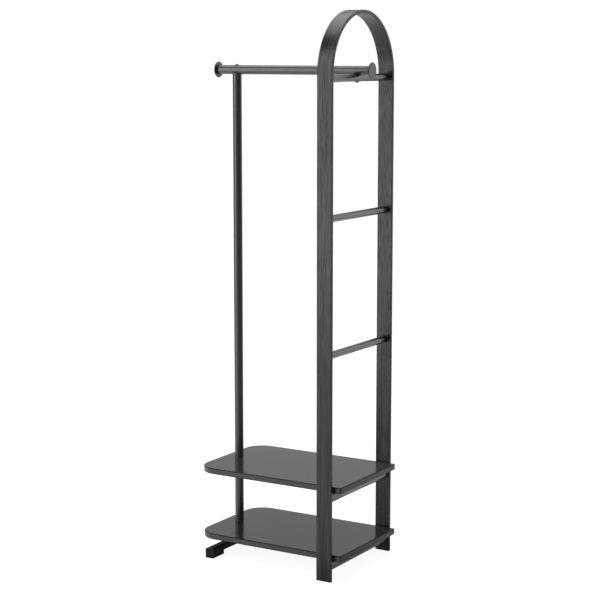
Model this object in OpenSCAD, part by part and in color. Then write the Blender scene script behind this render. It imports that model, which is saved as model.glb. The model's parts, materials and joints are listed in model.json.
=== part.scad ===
// Clothes stand: a bent wood arch on its right, a tube post on its left, a hanging
// rod over both, and two shelves low between them. Millimetres, +Z up, the floor at
// Z = 0. X runs along the rod with its middle at X = 0, and Y runs across the arch.

/* [Arch] */
// Height of the arch above the floor
arch_height = 1520; // [1300:5:1900]
// Depth of the arch, from the outside of one leg to the outside of the other
arch_depth = 341; // [321:1:480]
// Width of the bent strip
strip_width = 45; // [36:1:70]
// Thickness of the bent strip
strip_thickness = 9.2; // [8:0.2:16]
// Rounding of the strip's long edges
strip_edge = 1.2; // [0.5:0.1:3]

/* [Rungs] */
// Diameter of the three rungs that stand free between the legs
rung_diameter = 20; // [16:1:24]
// Drop of the top rung's axis below the start of the bend
top_rung_drop = 8; // [8:0.5:160]
// Distance from one rung's axis down to the next
rung_pitch = 364.5; // [250:0.5:400]
// Diameter of the rails that carry the shelves
rail_diameter = 33.5; // [26:0.5:36]
// Depth of the flat planed on a rail for its shelf
rail_flat = 1; // [0.5:0.1:3]
// Diameter of a rung's tenon
rung_tenon_diameter = 11; // [8:1:14]
// Diameter of a rail's tenon
rail_tenon_diameter = 17; // [12:1:22]
// Wood left behind a tenon's blind hole in the leg
tenon_cover = 2.5; // [2:0.5:4]

/* [Rod] */
// Diameter of the tube of the rod and the post
tube_diameter = 25; // [22:1:32]
// Wall of the tube
tube_wall = 1.5; // [1.2:0.1:3]
// Distance from the arch to the post, centre to centre
arch_to_post = 380; // [300:1:600]
// Length of rod past the arch's centre, with its cap
rod_past_arch = 48; // [44:1:120]
// Length of rod past the post's centre, with its cap
rod_past_post = 62.5; // [44:0.5:120]
// Depth of the saddles that the rod lies in, on the top rung and the post
saddle_depth = 3.3; // [1:0.1:5]
// Diameter of an end cap's disc
cap_diameter = 44; // [34:1:60]
// Thickness of an end cap's disc
cap_thickness = 2.5; // [2:0.5:6]
// Length of an end cap's plug inside the tube
cap_plug_length = 16; // [8:1:20]

/* [Shelves] */
// Length of a shelf past the arch's centre
shelf_past_arch = 44.5; // [28:0.5:80]
// Length of a shelf past the post's centre
shelf_past_post = 42.5; // [24:0.5:80]
// Gap between a shelf's long edge and a leg
shelf_side_gap = 5.5; // [1:0.5:40]
// Thickness of a shelf
shelf_thickness = 16.5; // [15:0.5:25]
// Height of the lower shelf's top
lower_shelf_height = 72; // [68:1:120]
// Distance from the lower shelf's top to the upper one's
shelf_pitch = 188.5; // [150:0.5:300]
// Corner radius at the post's end
post_end_radius = 56; // [10:1:80]
// Corner radius at the arch's end
arch_end_radius = 5; // [5:0.5:40]
// Rounding of a shelf's long edges
shelf_edge = 2; // [0.5:0.5:4]

/* [Foot] */
// Width of the foot bar under the post
foot_width = 25; // [22:1:50]
// Length of the foot bar
foot_length = 314; // [240:2:340]
// Thickness of the foot bar
foot_thickness = 16.5; // [15:0.5:24]
// Rounding of the foot bar's upper edges
foot_edge = 4.5; // [1:0.5:6]
// Length of a pad
pad_length = 60; // [50:1:90]
// Height of a pad
pad_height = 11.5; // [8:0.5:18]
// Corner radius of a pad's inner end
pad_end_radius = 5.5; // [2:0.5:10]

/* [Fasteners] */
// Diameter of the bolts
bolt_diameter = 6; // [5:1:8]
// Diameter of a bolt's head
head_diameter = 12; // [10:0.5:14]
// Height of a bolt's domed head
head_height = 4; // [3:0.5:6]
// Depth of the flat that seats a head on a round piece
spot_depth = 0.8; // [0.4:0.1:1]
// Length of thread in a plug or block
thread_grip = 13; // [10:1:18]
// Length of a plug in the post's tubes
plug_length = 24; // [20:1:40]
// Length of a block in the rod
block_length = 28; // [20:1:40]
// Diameter of the shelf screws
shelf_screw_diameter = 4.5; // [4:0.5:6]
// Depth that a shelf screw goes into its shelf
shelf_screw_grip = 11; // [8:1:12]
// Distance between a rail's two shelf screws
shelf_screw_spacing = 180; // [100:10:220]
// Diameter of the pad screws
pad_screw_diameter = 3.5; // [3:0.5:5]
// Length of a pad screw
pad_screw_length = 22; // [16:1:24]
// Distance between a pad's two screws
pad_screw_spacing = 32; // [20:1:40]

/* [Clearances] */
// Clearance round a tenon, plug or thread
fit_gap = 0.1; // [0.05:0.05:0.15]
// Clearance round a bolt that passes through
bolt_gap = 0.3; // [0.2:0.1:0.5]
// Clearance between a rung's shoulder and its leg
shoulder_gap = 0.05; // [0.02:0.01:0.1]

/* [Hidden] */
wood = [0.20, 0.20, 0.20];
board = [0.25, 0.25, 0.25];
lacquer = [0.14, 0.14, 0.15];
steel = [0.35, 0.35, 0.37];
smooth = 96;
bend_facets = 180;
edge_facets = 24;
dome_facets = 64;
hull_facets = 40;
past = 1;

// The rod's middle is the frame's origin, so both ends follow from its length
rod_length = rod_past_post + arch_to_post + rod_past_arch;
arch_x = rod_length / 2 - rod_past_arch;
post_x = arch_x - arch_to_post;
tube_radius = tube_diameter / 2;
bore_radius = tube_radius - tube_wall;
plug_radius = bore_radius - fit_gap;
bolt_hole = bolt_diameter + 2 * bolt_gap;
thread_hole = bolt_diameter + 2 * fit_gap;

leg_inner = arch_depth / 2 - strip_thickness;
bend_centre = arch_height - arch_depth / 2;
tenon_length = strip_thickness - tenon_cover - fit_gap;
top_rung_height = bend_centre - top_rung_drop;
rung_heights = [for (i = [0:2]) top_rung_height - i * rung_pitch];

shelf_right = arch_x + shelf_past_arch;
shelf_left = post_x - shelf_past_post;
shelf_reach = leg_inner - shelf_side_gap;
shelf_tops = [lower_shelf_height, lower_shelf_height + shelf_pitch];
shelf_undersides = [for (top = shelf_tops) top - shelf_thickness];
rail_heights = [for (z = shelf_undersides) z - rail_diameter / 2 + rail_flat];
rail_counterbore = rail_diameter / 3;
shelf_screw_head = 2 * shelf_screw_diameter;
shelf_screw_sites = [-shelf_screw_spacing / 2, shelf_screw_spacing / 2];

// The rod sinks into its saddles, which sets the height of the rod from the rung
rod_height = top_rung_height + rung_diameter / 2 + tube_radius - saddle_depth;
rod_underside = rod_height - tube_radius;
post_top = rod_underside + saddle_depth;
top_plug_height = rod_underside - past - plug_length;

foot_top = pad_height + foot_thickness;
foot_counterbore = head_height + past;
pad_centre = foot_length / 2 - pad_length / 2;
pad_screw_head = 2 * pad_screw_diameter;
pad_screw_recess = 1;

// ---- shared shapes ----

// Places the children at a point of the part's frame
module at(x, y, z) {
    translate([x, y, z]) children();
}

// A solid or a hole along X, centred
module along_x(length, diameter) {
    rotate([0, 90, 0]) cylinder(h = length, d = diameter, center = true, $fn = smooth);
}

// A solid or a hole along Y, centred
module along_y(length, diameter) {
    rotate([90, 0, 0]) cylinder(h = length, d = diameter, center = true, $fn = smooth);
}

// A solid or a hole along Z, from its lower end
module along_z(length, diameter) {
    cylinder(h = length, d = diameter, $fn = smooth);
}

// A round bolt or stud with a domed, socketed head, pointing up from its seat
module bolt(length) {
    socket_width = head_diameter / 3;
    socket_depth = head_height / 2;
    along_z(length, bolt_diameter);
    difference() {
        rotate_extrude($fn = smooth) {
            intersection() {
                scale([head_diameter / 2, head_height]) circle(r = 1, $fn = dome_facets);
                translate([0, -head_height]) square([head_diameter / 2, head_height]);
            }
        }
        translate([0, 0, -head_height - past])
            cylinder(h = socket_depth + past, d = socket_width, $fn = 6);
    }
}

// ---- arch ----

module strip_section() {
    offset(r = strip_edge, $fn = edge_facets)
        square([strip_thickness - 2 * strip_edge, strip_width - 2 * strip_edge], center = true);
}

// One strip: two straight legs and the half circle that joins them
module bent_strip() {
    middle = arch_depth / 2 - strip_thickness / 2;
    at(0, 0, bend_centre)
        rotate([90, 0, 90])
            rotate_extrude(angle = 180, $fn = bend_facets)
                translate([middle, 0]) strip_section();
    for (side = [-1, 1])
        at(0, side * middle, 0)
            linear_extrude(bend_centre) rotate(90) strip_section();
}

// Blind holes for a bar's two tenons
module tenon_holes(diameter) {
    depth = strip_thickness - tenon_cover;
    along_y(2 * (leg_inner + depth), diameter + 2 * fit_gap);
}

module arch() {
    color(wood) difference() {
        at(arch_x, 0, 0) bent_strip();
        for (z = rung_heights) at(arch_x, 0, z) tenon_holes(rung_tenon_diameter);
        for (z = rail_heights) at(arch_x, 0, z) tenon_holes(rail_tenon_diameter);
    }
}

// ---- rungs and rails ----

// A turned bar between the legs, with a tenon on each end
module turned_bar(diameter, tenon_diameter) {
    along_y(2 * (leg_inner - shoulder_gap), diameter);
    along_y(2 * (leg_inner + tenon_length), tenon_diameter);
}

module rung(height) {
    color(wood) at(arch_x, 0, height) turned_bar(rung_diameter, rung_tenon_diameter);
}

// The top rung has a saddle for the rod, a bolt hole and a flat for the bolt's head
module rung_top() {
    color(wood) difference() {
        at(arch_x, 0, top_rung_height) turned_bar(rung_diameter, rung_tenon_diameter);
        at(arch_x, 0, rod_height) along_x(rung_diameter + 2 * past, tube_diameter);
        at(arch_x, 0, top_rung_height - rung_diameter / 2 - past) along_z(rung_diameter, bolt_hole);
        at(arch_x, 0, top_rung_height - rung_diameter / 2 + spot_depth - head_height)
            along_z(head_height, head_diameter + bolt_gap);
    }
}

module rung_upper() {
    rung(rung_heights[1]);
}

module rung_lower() {
    rung(rung_heights[2]);
}

// A rail is planed flat on top for its shelf, and bored from below for the shelf screws
module rail(height) {
    underside = -rail_diameter / 2;
    color(wood) at(arch_x, 0, height) difference() {
        turned_bar(rail_diameter, rail_tenon_diameter);
        translate([-rail_diameter / 2, -leg_inner, rail_diameter / 2 - rail_flat])
            cube([rail_diameter, 2 * leg_inner, rail_diameter]);
        for (y = shelf_screw_sites) {
            at(0, y, underside - past)
                along_z(rail_diameter + 2 * past, shelf_screw_diameter + 2 * bolt_gap);
            at(0, y, underside - past)
                along_z(rail_counterbore + past, shelf_screw_head + 2 * bolt_gap);
        }
    }
}

module rail_upper() {
    rail(rail_heights[1]);
}

module rail_lower() {
    rail(rail_heights[0]);
}

// ---- shelves ----

// A shelf's outline, drawn in by the inset given
module shelf_outline(inset) {
    hull() for (side = [-1, 1]) {
        translate([shelf_left + post_end_radius, side * (shelf_reach - post_end_radius)])
            circle(r = post_end_radius - inset, $fn = hull_facets);
        translate([shelf_right - arch_end_radius, side * (shelf_reach - arch_end_radius)])
            circle(r = arch_end_radius - inset, $fn = hull_facets);
    }
}

// The board itself, with its long edges rounded above and below
module eased_board() {
    hull() for (turn = [0:30:90]) {
        rise = shelf_edge * (1 - sin(turn));
        translate([0, 0, rise])
            linear_extrude(shelf_thickness - 2 * rise)
                shelf_outline(shelf_edge * (1 - cos(turn)));
    }
}

// One board, with the post's bolt hole and blind holes for the shelf screws
module shelf(underside) {
    color(board) difference() {
        at(0, 0, underside) eased_board();
        at(post_x, 0, underside - past) along_z(shelf_thickness + 2 * past, bolt_hole);
        for (y = shelf_screw_sites)
            at(arch_x, y, underside - past)
                along_z(shelf_screw_grip + 2 * past, shelf_screw_diameter + 2 * fit_gap);
    }
}

module shelf_upper() {
    shelf(shelf_undersides[1]);
}

module shelf_lower() {
    shelf(shelf_undersides[0]);
}

// A pan head screw, from its head's lower face up
module shelf_screw(length) {
    head = shelf_screw_diameter / 2;
    along_z(length, shelf_screw_diameter);
    at(0, 0, -head) along_z(head, shelf_screw_head);
}

module shelf_screws() {
    length = rail_diameter - rail_flat - rail_counterbore + shelf_screw_grip;
    color(steel)
        for (z = rail_heights)
            for (y = shelf_screw_sites)
                at(arch_x, y, z - rail_diameter / 2 + rail_counterbore) shelf_screw(length);
}

// ---- hanging rod ----

// The tube, drilled through at the arch and the post, with a flat for the upper head
module hanging_rod() {
    color(lacquer) difference() {
        at(0, 0, rod_height) along_x(rod_length - 2 * cap_thickness, tube_diameter);
        at(0, 0, rod_height) along_x(rod_length, 2 * bore_radius);
        at(arch_x, 0, rod_underside - past) along_z(tube_radius, bolt_hole);
        at(post_x, 0, rod_underside - past) along_z(tube_diameter + 2 * past, bolt_hole);
        at(post_x, 0, rod_underside + tube_diameter - spot_depth)
            along_z(head_height, head_diameter + bolt_gap);
    }
}

// A flat disc with a softened rim, and the plug that holds it in the tube
module rod_cap() {
    rim = cap_thickness / 2;
    color(lacquer) {
        rotate_extrude($fn = smooth) {
            square([cap_diameter / 2 - rim, cap_thickness]);
            translate([cap_diameter / 2 - rim, rim]) circle(r = rim, $fn = edge_facets);
        }
        at(0, 0, -cap_plug_length) along_z(cap_plug_length, 2 * plug_radius);
    }
}

module rod_cap_left() {
    at(-rod_length / 2 + cap_thickness, 0, rod_height) rotate([0, -90, 0]) rod_cap();
}

module rod_cap_right() {
    at(rod_length / 2 - cap_thickness, 0, rod_height) rotate([0, 90, 0]) rod_cap();
}

// Solid blocks inside the tube: the bolts clamp on them without crushing its wall
module rod_blocks() {
    color(steel)
        for (x = [post_x, arch_x])
            at(x, 0, rod_height) difference() {
                along_x(block_length, 2 * plug_radius);
                at(0, 0, -tube_radius) along_z(tube_diameter, thread_hole);
            }
}

// Comes up through the top rung into the rod's block, its head under the rung
module rod_arch_bolt() {
    seat = top_rung_height - rung_diameter / 2 + spot_depth;
    color(steel) at(arch_x, 0, seat) bolt(rod_height + plug_radius - past - seat);
}

// Goes down through the rod into the post's top plug, its head on the rod
module rod_post_bolt() {
    seat = rod_underside + tube_diameter - spot_depth;
    plug_top = top_plug_height + plug_length;
    color(steel) at(post_x, 0, seat) rotate([180, 0, 0]) bolt(seat - plug_top + thread_grip);
}

// ---- post ----

// A piece of the post's tube between two heights
module post_tube(bottom, top) {
    difference() {
        at(post_x, 0, bottom) along_z(top - bottom, tube_diameter);
        at(post_x, 0, bottom - past) along_z(top - bottom + 2 * past, 2 * bore_radius);
    }
}

// The longest piece, saddled on top for the rod
module post_upper() {
    color(lacquer) difference() {
        post_tube(shelf_tops[1], post_top);
        at(post_x, 0, rod_height) along_x(tube_diameter + 2 * past, tube_diameter);
    }
}

module post_middle() {
    color(lacquer) post_tube(shelf_tops[0], shelf_undersides[1]);
}

module post_lower() {
    color(lacquer) post_tube(foot_top, shelf_undersides[0]);
}

// Threaded plugs in the ends of the upper and middle tubes
module post_plugs() {
    color(steel)
        for (z = [top_plug_height, shelf_tops[1], shelf_undersides[1] - plug_length, shelf_tops[0]])
            at(post_x, 0, z) difference() {
                along_z(plug_length, 2 * plug_radius);
                at(0, 0, -past) along_z(plug_length + 2 * past, thread_hole);
            }
}

// Joins the middle and upper tubes through the upper shelf
module post_stud() {
    color(steel)
        at(post_x, 0, shelf_undersides[1] - thread_grip)
            along_z(shelf_thickness + 2 * thread_grip, bolt_diameter);
}

// ---- foot ----

// The bar's section: square below, rounded above
module foot_section() {
    reach = foot_width / 2 - foot_edge;
    hull() {
        translate([-foot_width / 2, 0]) square([foot_width, foot_edge]);
        for (side = [-1, 1])
            translate([side * reach, foot_thickness - foot_edge])
                circle(r = foot_edge, $fn = hull_facets);
    }
}

// The bar across the stand under the post, bored for the foot bolt and the pad screws
module foot_bar() {
    color(wood) difference() {
        at(post_x, foot_length / 2, pad_height)
            rotate([90, 0, 0]) linear_extrude(foot_length) foot_section();
        at(post_x, 0, pad_height - past) along_z(foot_thickness + 2 * past, bolt_hole);
        at(post_x, 0, pad_height - past) along_z(foot_counterbore + past, head_diameter + 2 * bolt_gap);
        pad_screw_places()
            along_z(pad_screw_recess + pad_screw_length + past, pad_screw_diameter + 2 * fit_gap);
    }
}

// A pad is flush with the bar's end and sides, with its inner corners rounded
module foot_pad(side) {
    inner = pad_length / 2 - pad_end_radius;
    color(wood) difference() {
        at(post_x, side * pad_centre, 0)
            linear_extrude(pad_height) hull() {
                translate([-foot_width / 2, side * pad_length / 4 - pad_length / 4])
                    square([foot_width, pad_length / 2]);
                for (edge = [-1, 1])
                    translate([edge * (foot_width / 2 - pad_end_radius), -side * inner])
                        circle(r = pad_end_radius, $fn = hull_facets);
            }
        pad_screw_places() {
            at(0, 0, -past) along_z(pad_height + 2 * past, pad_screw_diameter + 2 * fit_gap);
            at(0, 0, -past) along_z(pad_screw_recess + past, pad_screw_head + 2 * fit_gap);
            at(0, 0, pad_screw_recess) countersink(pad_screw_head + 2 * fit_gap);
        }
    }
}

// The cone under a countersunk head, from its wide end up
module countersink(diameter) {
    cylinder(h = diameter / 4, d1 = diameter, d2 = diameter / 2, $fn = smooth);
}

module foot_pad_near() {
    foot_pad(-1);
}

module foot_pad_far() {
    foot_pad(1);
}

// Comes up through the bar, the lower tube and the lower shelf into the middle tube
module foot_bolt() {
    seat = pad_height + foot_counterbore;
    color(steel) at(post_x, 0, seat) bolt(shelf_tops[0] + thread_grip - seat);
}

// The floor points below the pads' four screws
module pad_screw_places() {
    for (side = [-1, 1])
        for (step = [-1, 1])
            at(post_x, side * pad_centre + step * pad_screw_spacing / 2, 0) children();
}

module pad_screws() {
    color(steel) pad_screw_places() at(0, 0, pad_screw_recess) {
        along_z(pad_screw_length, pad_screw_diameter);
        countersink(pad_screw_head);
    }
}

arch();
rung_top();
rung_upper();
rung_lower();
rail_upper();
rail_lower();
shelf_upper();
shelf_lower();
shelf_screws();
hanging_rod();
rod_cap_left();
rod_cap_right();
rod_blocks();
rod_arch_bolt();
rod_post_bolt();
post_upper();
post_middle();
post_lower();
post_plugs();
post_stud();
foot_bar();
foot_pad_near();
foot_pad_far();
foot_bolt();
pad_screws();
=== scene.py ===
import json
import math
from collections import namedtuple

import bpy
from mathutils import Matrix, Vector


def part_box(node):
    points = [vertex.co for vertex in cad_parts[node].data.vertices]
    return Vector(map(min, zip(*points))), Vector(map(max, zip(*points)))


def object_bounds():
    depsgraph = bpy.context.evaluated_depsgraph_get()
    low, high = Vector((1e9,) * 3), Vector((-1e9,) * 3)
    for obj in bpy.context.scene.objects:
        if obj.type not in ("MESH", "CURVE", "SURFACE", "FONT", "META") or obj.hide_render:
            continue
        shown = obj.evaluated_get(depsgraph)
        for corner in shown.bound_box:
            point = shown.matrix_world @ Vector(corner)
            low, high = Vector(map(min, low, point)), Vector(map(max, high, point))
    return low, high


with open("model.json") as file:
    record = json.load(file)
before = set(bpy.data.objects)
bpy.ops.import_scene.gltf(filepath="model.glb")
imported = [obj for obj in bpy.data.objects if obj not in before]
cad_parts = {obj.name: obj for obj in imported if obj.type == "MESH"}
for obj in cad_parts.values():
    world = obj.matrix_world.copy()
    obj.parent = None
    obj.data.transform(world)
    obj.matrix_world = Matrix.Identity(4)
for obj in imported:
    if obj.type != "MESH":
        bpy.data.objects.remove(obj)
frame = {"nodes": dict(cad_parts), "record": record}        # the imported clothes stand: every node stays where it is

CAD_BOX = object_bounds()

# Lengths are in metres and angles in degrees, in the stand's own frame. A span is the pair of
# values between which something goes smoothly from one state to the other.

# Camera.
CAMERA_PLACE = (2.3650, -3.8775, 1.4176)
CAMERA_PITCH = 8.6237                   # below level
CAMERA_TURN = 31.1543                   # from +Y towards -X
CAMERA_LENS = 99.357                    # in millimetres, as the sensor is
CAMERA_SENSOR = 36.0

# Floor: matt, with a glow that only cameras and reflections see. The shares are of that glow in
# reflections, and multiply; their pattern is painted light and shade in the floor's reflections.
FLOOR_SIZE = 60.0
FLOOR_DROP = 0.0002                     # below the feet, so that no two faces share a plane
FLOOR_COLOUR = (0.45, 0.45, 0.45, 1.0)
FLOOR_GLOW = 0.92                       # makes the floor read white
FLOOR_BRIGHT = 0.90                     # share away from the camera
FLOOR_DIM = 0.15                        # share beside the camera, a painted dim side
DIM_SPAN = (-0.4, 0.9)                  # X over which the floor dims
DIM_SLANT = 0.6                         # shift of this span for each metre behind the stand
FLOOR_FLAGGED = 0.30                    # share in a painted shade on the left, as under a black flag
FLOOR_FLAG_SPAN = (-5.5, -2.5)          # X over which this shade ends
FLOOR_FLAG_SLANT = 0.5                  # shift of this span for each metre of Y
FLOOR_FRONT = 0.75                      # share in front of the stand, a painted shade
FRONT_SPAN = (-2.5, 0.0)                # Y over which it rises to the whole
FLOOR_PAINTED_SHADOW = 0.28                     # share in a painted shadow under the stand
SHADE_SPAN = (-0.10, 0.25)              # distance outside the stand's box over which it rises

# Room: white on every side, and seen as plain white. The shares are of its strength in one
# direction, and their spans are cosines between that direction and the one named.
ROOM_FILL = 0.55                        # strength as a light
ROOM_WHITE = 1.0                        # strength in reflections
FROM_DARK = Vector((-0.8, 0.6, 0.0))    # away from the camera's side, where a studio is dim
ROOM_DARK = 0.10                        # share on that side
DARK_SPAN = (-0.55, 0.0)
ROOM_BACK = 0.56                        # share on the far side
BACK_SPAN = (0.2, 0.9)
TO_GAP = Vector((-0.52, -0.427, 0.74))  # to the gap between the key and top softboxes
ROOM_GAP = 0.10
GAP_SPAN = (0.89, 0.99)
TO_FLAG = Vector((-0.99, 0.10, 0.0))    # to the black flag on the left
ROOM_FLAGGED = 0.35
FLAG_SPAN = (0.75, 0.97)

# Softboxes: a level one shines level, the other at the stand's middle.
AIM = Vector((0.0, 0.0, 0.85))
Softbox = namedtuple("Softbox", "name place size watts level")
SOFTBOXES = (
    Softbox("key", place=(-1.80, -2.48, 1.90), size=(1.55, 3.8), watts=46.0, level=True),
    Softbox("top", place=(-0.5, 0.4, 3.3), size=(2.2, 2.2), watts=30.0, level=False),
    Softbox("back", place=(2.1, 3.3, 1.5), size=(2.4, 2.4), watts=5.0, level=True),
)

# Wood grain: how often each figure repeats in a metre, along, across and through the board.
DRIFT = (3.0, 6.0, 6.0)
BANDS = (2.5, 60.0, 50.0)
STREAKS = (3.0, 190.0, 150.0)
PORES = (22.0, 1100.0, 900.0)
PORE_SPAN = (0.56, 0.70)                # noise over which a pore opens
PORE_COVER = 0.55                       # how far a pore's tone covers the wood's
PORE_TONE = 0.4                         # a pore's tone, as a share of the dark wood's
STREAK_HEIGHT = 0.5                     # a streak's height, as a share of a pore's depth
BAND_SHARE = 0.45                       # the bands' share of the tone; streaks give the rest
TONE_SPAN = (0.43, 0.57)                # tone over which dark wood turns light
GLOSS_SPAN = (0.35, 0.65)               # tone over which the roughness rises
PATCHES = (30.0, 30.0, 12.0)            # patches of edge wear and of painted light on edges, in a metre of X, Y and Z
PATCH_SPAN = (0.35, 0.65)
PLAIN_SHINE = 0.5                       # the shader's usual specular level

# Edges and faces of the wooden pieces. A face's span is of how squarely it faces an axis.
STRIP_THICKNESS = 0.0092                # the arch's bent strip
ARCH_EDGE = 0.0012                      # width of the wear on its edges
FOOT_EDGE = 0.0025                      # width of the foot's painted highlight lines along its edges
SEAM_SPAN = (0.0006, 0.0012)            # distance from the foot's seam over which the painted highlight starts
LEVEL_SPAN = (0.2, 0.4)                 # from upright to level
END_SPAN = (0.5, 0.9)                   # from a side to an end
ROUNDED_MIDDLE = 0.6                    # the middle of a rounded edge
ROUNDED_SPAN = (0.370, 0.395)           # distance from that middle over which the edge ends

# Metal: how often its figures repeat in a metre, and what they do.
CLOUDS = (14.0, 14.0, 14.0)
CLOUD_TONES = (0.8, 1.2)                # the lacquer's tone from cloud to cloud, as a share
CLOUD_ROUGHNESS = (-0.03, 0.05)         # added to the lacquer's roughness
ORANGE_PEEL = (260.0, 260.0, 260.0)
PEEL_HEIGHT = 0.0000015
LACQUER_IOR = 1.7
TURNING_MARKS = (300.0, 300.0, 2600.0)
MARK_TONES = (0.42, 0.62)
MARK_ROUGHNESS = (0.28, 0.42)
MARK_HEIGHT = 0.00002
METAL_SPAN = (0.3, 0.7)                 # noise over which the roughness rises


class Graph:
    """The node tree of a material or of the world."""

    def __init__(self, owner):
        owner.use_nodes = True
        self.tree = owner.node_tree
        self.tree.nodes.clear()

    def feed(self, socket, value):
        """Links another node's socket to this one, or sets a plain value on it."""
        if isinstance(value, bpy.types.NodeSocket):
            self.tree.links.new(value, socket)
        else:
            socket.default_value = value

    def node(self, kind, **inputs):
        """Adds a node and fills its inputs, named as in Blender with _ for each space."""
        made = self.tree.nodes.new(kind)
        for name, value in inputs.items():
            self.feed(made.inputs[name.replace("_", " ")], value)
        return made

    def math(self, operation, first, second=0.0):
        made = self.tree.nodes.new("ShaderNodeMath")
        made.operation = operation
        self.feed(made.inputs[0], first)
        self.feed(made.inputs[1], second)
        return made.outputs[0]

    def ease(self, value, start, end, to_start=0.0, to_end=1.0):
        """Goes smoothly from to_start to to_end while value goes from start to end."""
        made = self.node("ShaderNodeMapRange", Value=value)
        made.interpolation_type = "SMOOTHSTEP"
        made.inputs["From Min"].default_value = start
        made.inputs["From Max"].default_value = end
        made.inputs["To Min"].default_value = to_start
        made.inputs["To Max"].default_value = to_end
        return made.outputs["Result"]

    def blend(self, share, first, second):
        """A colour that goes from first to second as share goes from 0 to 1."""
        made = self.tree.nodes.new("ShaderNodeMix")
        made.data_type = "RGBA"
        self.feed(made.inputs["Factor"], share)
        self.feed(made.inputs["A"], first)
        self.feed(made.inputs["B"], second)
        return made.outputs["Result"]

    def place(self):
        """The point on the surface, in metres in the stand's frame, as x, y and z."""
        coordinates = self.node("ShaderNodeTexCoord")
        parts = self.node("ShaderNodeSeparateXYZ", Vector=coordinates.outputs["Object"])
        return parts.outputs["X"], parts.outputs["Y"], parts.outputs["Z"]

    def facing(self, axis):
        """How squarely the surface faces along an axis: 1 square to it, 0 edge-on."""
        normal = self.node("ShaderNodeNewGeometry").outputs["True Normal"]
        parts = self.node("ShaderNodeSeparateXYZ", Vector=normal)
        return self.math("ABSOLUTE", parts.outputs[axis])

    def noise(self, point, scales, detail=2.0, roughness=0.5):
        """Noise that repeats about scales times a metre along each of the point's coordinates."""
        scaled = [self.math("MULTIPLY", part, scale) for part, scale in zip(point, scales)]
        vector = self.node("ShaderNodeCombineXYZ", X=scaled[0], Y=scaled[1], Z=scaled[2])
        made = self.node("ShaderNodeTexNoise", Vector=vector.outputs["Vector"], Scale=1.0,
                         Detail=detail, Roughness=roughness)
        return made.outputs["Fac"]

    def bump(self, height, depth):
        made = self.node("ShaderNodeBump", Height=height, Distance=depth, Strength=1.0)
        return made.outputs["Normal"]

    def surface(self, **inputs):
        """Ends a material with one shader."""
        self.finish(self.node("ShaderNodeBsdfPrincipled", **inputs).outputs["BSDF"])

    def finish(self, shader, kind="ShaderNodeOutputMaterial"):
        self.node(kind, Surface=shader)


def grey(level, warmth=0.0):
    """A near-neutral linear colour."""
    return (level * (1.0 + warmth), level, level * (1.0 - warmth), 1.0)


WHITE = grey(1.0)


# Boards: the point on a piece as along its grain, across it and through it.

def arch_board(g):
    """The arch unrolled: along the strip from the near foot, across it, and through it."""
    _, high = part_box("arch")
    outer = high.y
    bend_height = high.z - outer
    x, y, z = g.place()
    over = g.math("MAXIMUM", g.math("SUBTRACT", z, bend_height), 0.0)
    turn = g.math("ARCTAN2", over, g.math("MULTIPLY", y, -1.0))
    side = g.math("SIGN", y)
    straight = g.math("MULTIPLY", side, g.math("MINIMUM", z, bend_height))
    bent = g.math("MULTIPLY", turn, outer)
    start = g.math("MULTIPLY", g.math("ADD", side, 1.0), bend_height)
    along = g.math("ADD", g.math("SUBTRACT", bent, straight), start)
    through = g.math("SQRT", g.math("ADD", g.math("MULTIPLY", y, y), g.math("MULTIPLY", over, over)))
    return along, x, through


def board_x(g):
    """A board whose grain runs along X."""
    return g.place()


def board_y(g):
    """A board or a round bar whose grain runs along Y."""
    x, y, z = g.place()
    return y, x, z


# Edges and faces: 1 on them and 0 off them.

def near_edge(g, value, middle, half, width):
    """1 at the two ends of a stretch, 0 from width inside them."""
    away = g.math("ABSOLUTE", g.math("SUBTRACT", value, middle))
    return g.ease(away, half - width, half)


def arch_edges(g):
    """The four long edges of the bent strip."""
    low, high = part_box("arch")
    _, across, through = arch_board(g)
    sides = near_edge(g, across, (low.x + high.x) / 2, (high.x - low.x) / 2, ARCH_EDGE)
    depth = STRIP_THICKNESS / 2
    faces = near_edge(g, through, high.y - depth, depth, ARCH_EDGE)
    return g.math("MAXIMUM", g.math("ADD", g.math("ADD", sides, faces), -1.0), 0.0)


def foot_edges(g):
    """The edges of the foot's bar and pads, but not the seam between them."""
    low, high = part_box("foot_bar")
    x, y, z = g.place()
    sides = near_edge(g, x, (low.x + high.x) / 2, (high.x - low.x) / 2, FOOT_EDGE)
    ends = near_edge(g, y, 0.0, high.y, FOOT_EDGE)
    top = g.math("ABSOLUTE", g.math("SUBTRACT", z, high.z))
    seam = g.math("ABSOLUTE", g.math("SUBTRACT", z, low.z))
    nearest = g.math("MINIMUM", g.math("MINIMUM", top, seam), z)
    levels = g.ease(nearest, 0.0, FOOT_EDGE, 1.0, 0.0)
    edges = g.math("ADD", g.math("ADD", sides, ends), g.math("ADD", levels, -1.0))
    return g.math("MULTIPLY", g.math("MAXIMUM", edges, 0.0), g.ease(seam, *SEAM_SPAN))


def rounded_edges(g):
    """Where the surface turns between upright and level, as on an eased edge."""
    slope = g.math("ABSOLUTE", g.math("SUBTRACT", g.facing("Z"), ROUNDED_MIDDLE))
    return g.ease(slope, *ROUNDED_SPAN, 1.0, 0.0)


def upright_faces(g):
    return g.ease(g.facing("Z"), *LEVEL_SPAN, 1.0, 0.0)


def cut_ends(g):
    """Where the ends of a board cut its grain, which runs along X."""
    return g.ease(g.facing("X"), *END_SPAN)


# Wood.

# where finds the edges, share is how much of their colour shows from patch to patch, tone is
# that colour as a multiple of the light wood's, gloss is taken off the roughness, and shine is
# the specular level there. On the arch this colour is wear; on the shelves' eased edges it is
# painted shade and on the foot's edges painted highlight.
Edges = namedtuple("Edges", "where share tone gloss shine", defaults=((0.15, 0.8), 1.9, 0.10, None))


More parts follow.
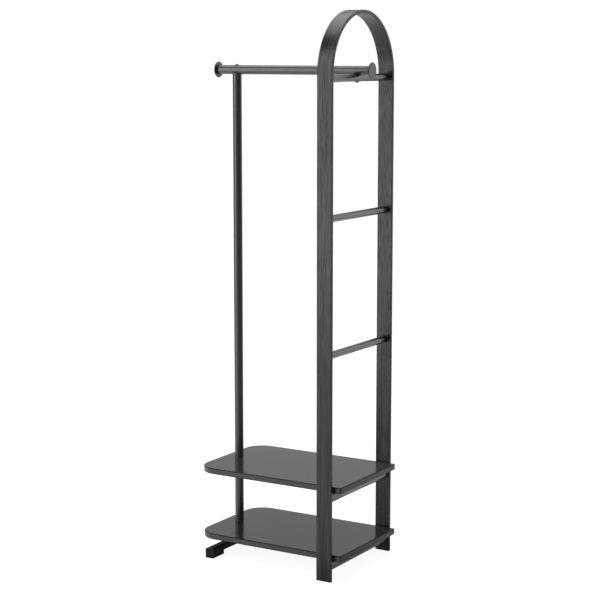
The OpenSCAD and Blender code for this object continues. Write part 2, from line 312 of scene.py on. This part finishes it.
def grain(g, board, figure):
    """Bands, streaks and pores that run along the board and wander across it by figure."""
    along, across, through = board
    drift = g.noise((along, across, through), DRIFT, detail=1.0)
    wander = g.math("MULTIPLY", g.math("SUBTRACT", drift, 0.5), figure)
    bent = g.math("ADD", across, wander)
    bands = g.noise((along, bent, through), BANDS)
    streaks = g.noise((along, bent, through), STREAKS, detail=3.0, roughness=0.6)
    pores = g.noise((along, bent, through), PORES, detail=1.0)
    return bands, streaks, g.ease(pores, *PORE_SPAN)


def wood(name, board, dark, light, rough, figure=0.010, relief=0.00012, uneven=0.05,
         edges=None, upright_painted_light=None, end_painted_shade=None, ior=1.5, coat=0.0):
    """Stained wood under a satin lacquer, with open pores, edges changed by use, and painted light and shade on some
    faces and edges.

    dark and light are tones of the grain; the tone for upright faces is painted light and the one for the ends
    painted shade.
    figure is how far the grain wanders, relief how deep the pores are, and uneven how far the
    roughness strays from rough."""
    material = bpy.data.materials.new(name)
    g = Graph(material)
    bands, streaks, pores = grain(g, board(g), figure)
    tone = g.math("ADD", g.math("MULTIPLY", bands, BAND_SHARE),
                  g.math("MULTIPLY", streaks, 1.0 - BAND_SHARE))
    colour = g.blend(g.ease(tone, *TONE_SPAN), grey(dark), grey(light, warmth=0.02))
    colour = g.blend(g.math("MULTIPLY", pores, PORE_COVER), colour, grey(dark * PORE_TONE))
    roughness = g.math("ADD", g.ease(tone, *GLOSS_SPAN, rough - uneven, rough + uneven),
                       g.math("MULTIPLY", pores, 2 * uneven))
    shine = PLAIN_SHINE
    # Painted light: upright faces take a lighter tone, standing in for the light they catch.
    if upright_painted_light:
        colour = g.blend(upright_faces(g), colour, grey(upright_painted_light))
    # Painted shade: the ends take a darker tone, standing in for the shade they are in.
    if end_painted_shade:
        colour = g.blend(cut_ends(g), colour, grey(end_painted_shade))
    # Edge colour: wear on the arch, painted shade on the shelves' eased edges, painted highlight on the foot's edges.
    if edges:
        patches = g.noise(g.place(), PATCHES, detail=3.0)
        edge_wear_and_painted_light = g.math("MULTIPLY", edges.where(g), g.ease(patches, *PATCH_SPAN, *edges.share))
        colour = g.blend(edge_wear_and_painted_light, colour, grey(light * edges.tone, warmth=0.03))
        roughness = g.math("SUBTRACT", roughness, g.math("MULTIPLY", edge_wear_and_painted_light, edges.gloss))
        if edges.shine is not None:
            shine = g.ease(edge_wear_and_painted_light, 0.0, 1.0, PLAIN_SHINE, edges.shine)
    height = g.math("SUBTRACT", g.math("MULTIPLY", streaks, STREAK_HEIGHT), pores)
    g.surface(Base_Color=colour, Roughness=roughness, IOR=ior, Coat_Weight=coat,
              Coat_Roughness=rough, Specular_IOR_Level=shine, Normal=g.bump(height, relief))
    return material


def arch_wood():
    return wood("arch_wood", arch_board, dark=0.002, light=0.046, rough=0.29, figure=0.030,
                relief=0.00015, uneven=0.03, edges=Edges(arch_edges))


def rung_wood():
    return wood("rung_wood", board_y, dark=0.042, light=0.054, rough=0.34, figure=0.004,
                relief=0.00003, uneven=0.03, coat=1.0)


def shelf_board():
    # Painted shade: the eased edges take a dark tone, less shine and more roughness, standing in for the dark line
    # they reflect.
    edges = Edges(rounded_edges, share=(0.85, 1.0), tone=0.1, gloss=-0.20, shine=0.1)
    # Upright faces carry painted light and the ends painted shade, as tones lighter and darker than the top's.
    return wood("shelf_board", board_x, dark=0.031, light=0.051, rough=0.17, figure=0.030,
                relief=0.000006, uneven=0.025, edges=edges, upright_painted_light=0.076, end_painted_shade=0.003)


def foot_wood():
    # Painted highlight: the edges take a far lighter tone and more shine, standing in for the light lines along them.
    edges = Edges(foot_edges, share=(0.3, 1.0), tone=5.5, shine=0.8)
    # Painted shade: the foot's tones are darker, standing in for the shade under the lower shelf.
    return wood("foot_wood", board_y, dark=0.003, light=0.010, rough=0.50, edges=edges, ior=1.3)


# Metal.

def lacquer(name, tone, rough):
    """Black lacquer on steel: a faint orange peel and uneven gloss."""
    material = bpy.data.materials.new(name)
    g = Graph(material)
    place = g.place()
    cloud = g.noise(place, CLOUDS, detail=3.0)
    peel = g.noise(place, ORANGE_PEEL)
    colour = g.blend(cloud, *[grey(tone * share) for share in CLOUD_TONES])
    roughness = g.ease(cloud, *METAL_SPAN, *[rough + more for more in CLOUD_ROUGHNESS])
    g.surface(Base_Color=colour, Roughness=roughness, IOR=LACQUER_IOR,
              Normal=g.bump(peel, PEEL_HEIGHT))
    return material


def tube_lacquer():
    return lacquer("tube_lacquer", tone=0.055, rough=0.33)


def bolt_black():
    return lacquer("bolt_black", tone=0.015, rough=0.30)


def fastener_steel():
    """Zinc-plated steel with turning marks."""
    material = bpy.data.materials.new("fastener_steel")
    g = Graph(material)
    marks = g.noise(g.place(), TURNING_MARKS)
    colour = g.blend(marks, *[grey(tone) for tone in MARK_TONES])
    roughness = g.ease(marks, *METAL_SPAN, *MARK_ROUGHNESS)
    g.surface(Base_Color=colour, Roughness=roughness, Metallic=1.0,
              Normal=g.bump(marks, MARK_HEIGHT))
    return material


def dress():
    """Gives every node the material of its slot in the record."""
    by_slot = {
        "arch_wood": arch_wood(),
        "rung_wood": rung_wood(),
        "shelf_board": shelf_board(),
        "foot_wood": foot_wood(),
        "tube_lacquer": tube_lacquer(),
        "bolt_black": bolt_black(),
        "fastener_steel": fastener_steel(),
    }
    slots = {part["node"]: part["material_slot"] for part in frame["record"]["subparts"]}
    for name, node in frame["nodes"].items():
        node.data.materials.clear()
        node.data.materials.append(by_slot[slots[name]])


# Studio.

def seen_share(g, mirrored=1.0):
    """1 for rays that see the background, mirrored for its reflections, 0 for rays that light."""
    path = g.node("ShaderNodeLightPath").outputs
    straight = g.math("MAXIMUM", path["Is Camera Ray"], path["Is Transmission Ray"])
    return g.math("MAXIMUM", straight, g.math("MULTIPLY", path["Is Glossy Ray"], mirrored))


def towards(g, direction, target):
    """The cosine of the angle between a direction and a fixed one."""
    made = g.node("ShaderNodeVectorMath")
    made.operation = "DOT_PRODUCT"
    g.feed(made.inputs[0], direction)
    g.feed(made.inputs[1], target)
    return made.outputs["Value"]


def make_world():
    """A white room, uneven as a light and in reflections, plain white to the camera."""
    world = bpy.data.worlds.new("studio")
    bpy.context.scene.world = world
    g = Graph(world)
    direction = g.node("ShaderNodeTexCoord").outputs["Generated"]
    facing = towards(g, direction, FROM_DARK)
    side = g.ease(facing, *DARK_SPAN, ROOM_DARK, 1.0)
    side = g.math("MINIMUM", side, g.ease(facing, *BACK_SPAN, 1.0, ROOM_BACK))
    for target, span, share in ((TO_GAP, GAP_SPAN, ROOM_GAP), (TO_FLAG, FLAG_SPAN, ROOM_FLAGGED)):
        side = g.math("MULTIPLY", side, g.ease(towards(g, direction, target), *span, 1.0, share))
    level = g.node("ShaderNodeMix", Factor=seen_share(g), A=ROOM_FILL, B=ROOM_WHITE)
    light = g.math("MULTIPLY", level.outputs["Result"], side)
    camera_ray = g.node("ShaderNodeLightPath").outputs["Is Camera Ray"]
    background = g.node("ShaderNodeBackground", Color=WHITE,
                        Strength=g.math("MAXIMUM", light, camera_ray))
    g.finish(background.outputs["Background"], "ShaderNodeOutputWorld")


def floor_mirrored(g):
    """The share of the floor's glow that reflections of it show, from place to place: painted shade, dimmer beside
    the camera, on the left, in front of the stand and under it.
    """
    x, y, _ = g.place()
    behind = g.math("MAXIMUM", y, 0.0)
    beside = g.math("SUBTRACT", x, g.math("MULTIPLY", behind, DIM_SLANT))
    dimmed = g.ease(beside, *DIM_SPAN, FLOOR_BRIGHT, FLOOR_DIM)
    leftward = g.math("SUBTRACT", x, g.math("MULTIPLY", y, FLOOR_FLAG_SLANT))
    flagged = g.ease(leftward, *FLOOR_FLAG_SPAN, FLOOR_FLAGGED, 1.0)
    front = g.ease(y, *FRONT_SPAN, FLOOR_FRONT, 1.0)
    past_x = g.math("SUBTRACT", g.math("ABSOLUTE", x), CAD_BOX[1].x)
    past_y = g.math("SUBTRACT", g.math("ABSOLUTE", y), CAD_BOX[1].y)
    # Painted shadow: the glow in reflections is dimmed under the stand, standing in for its cast shadow.
    painted_shadow = g.ease(g.math("MAXIMUM", past_x, past_y), *SHADE_SPAN, FLOOR_PAINTED_SHADOW, 1.0)
    mirror = g.math("MULTIPLY", g.math("MULTIPLY", dimmed, flagged), front)
    return g.math("MULTIPLY", mirror, painted_shadow)


def floor_matt():
    """A matt white that keeps the stand's shadow and reads white to the camera."""
    material = bpy.data.materials.new("floor")
    g = Graph(material)
    glow = g.math("MULTIPLY", seen_share(g, floor_mirrored(g)), FLOOR_GLOW)
    both = g.node("ShaderNodeAddShader")
    g.feed(both.inputs[0], g.node("ShaderNodeBsdfDiffuse", Color=FLOOR_COLOUR).outputs["BSDF"])
    g.feed(both.inputs[1], g.node("ShaderNodeEmission", Strength=glow).outputs["Emission"])
    g.finish(both.outputs["Shader"])
    return material


def make_floor():
    half = FLOOR_SIZE / 2
    mesh = bpy.data.meshes.new("floor")
    mesh.from_pydata([(-half, -half, 0), (half, -half, 0), (half, half, 0), (-half, half, 0)],
                     [], [(0, 1, 2, 3)])
    floor = bpy.data.objects.new("floor", mesh)
    bpy.context.scene.collection.objects.link(floor)
    floor.location.z = -FLOOR_DROP
    mesh.materials.append(floor_matt())


def make_softbox(box):
    lamp = bpy.data.lights.new(box.name, "AREA")
    lamp.shape = "RECTANGLE"
    lamp.size, lamp.size_y = box.size
    lamp.energy = box.watts
    place = Vector(box.place)
    target = Vector((AIM.x, AIM.y, place.z if box.level else AIM.z))
    softbox = bpy.data.objects.new(box.name, lamp)
    softbox.location = place
    softbox.rotation_euler = (target - place).to_track_quat("-Z", "Y").to_euler()
    softbox.visible_camera = False
    bpy.context.scene.collection.objects.link(softbox)


def make_camera():
    data = bpy.data.cameras.new("camera")
    data.lens = CAMERA_LENS
    data.sensor_width = CAMERA_SENSOR
    camera = bpy.data.objects.new("camera", data)
    camera.location = CAMERA_PLACE
    camera.rotation_euler = (math.radians(90 - CAMERA_PITCH), 0.0, math.radians(CAMERA_TURN))
    bpy.context.scene.collection.objects.link(camera)
    bpy.context.scene.camera = camera


dress()
make_world()
make_floor()
for box in SOFTBOXES:
    make_softbox(box)
make_camera()
bpy.context.scene.view_settings.view_transform = "Standard"
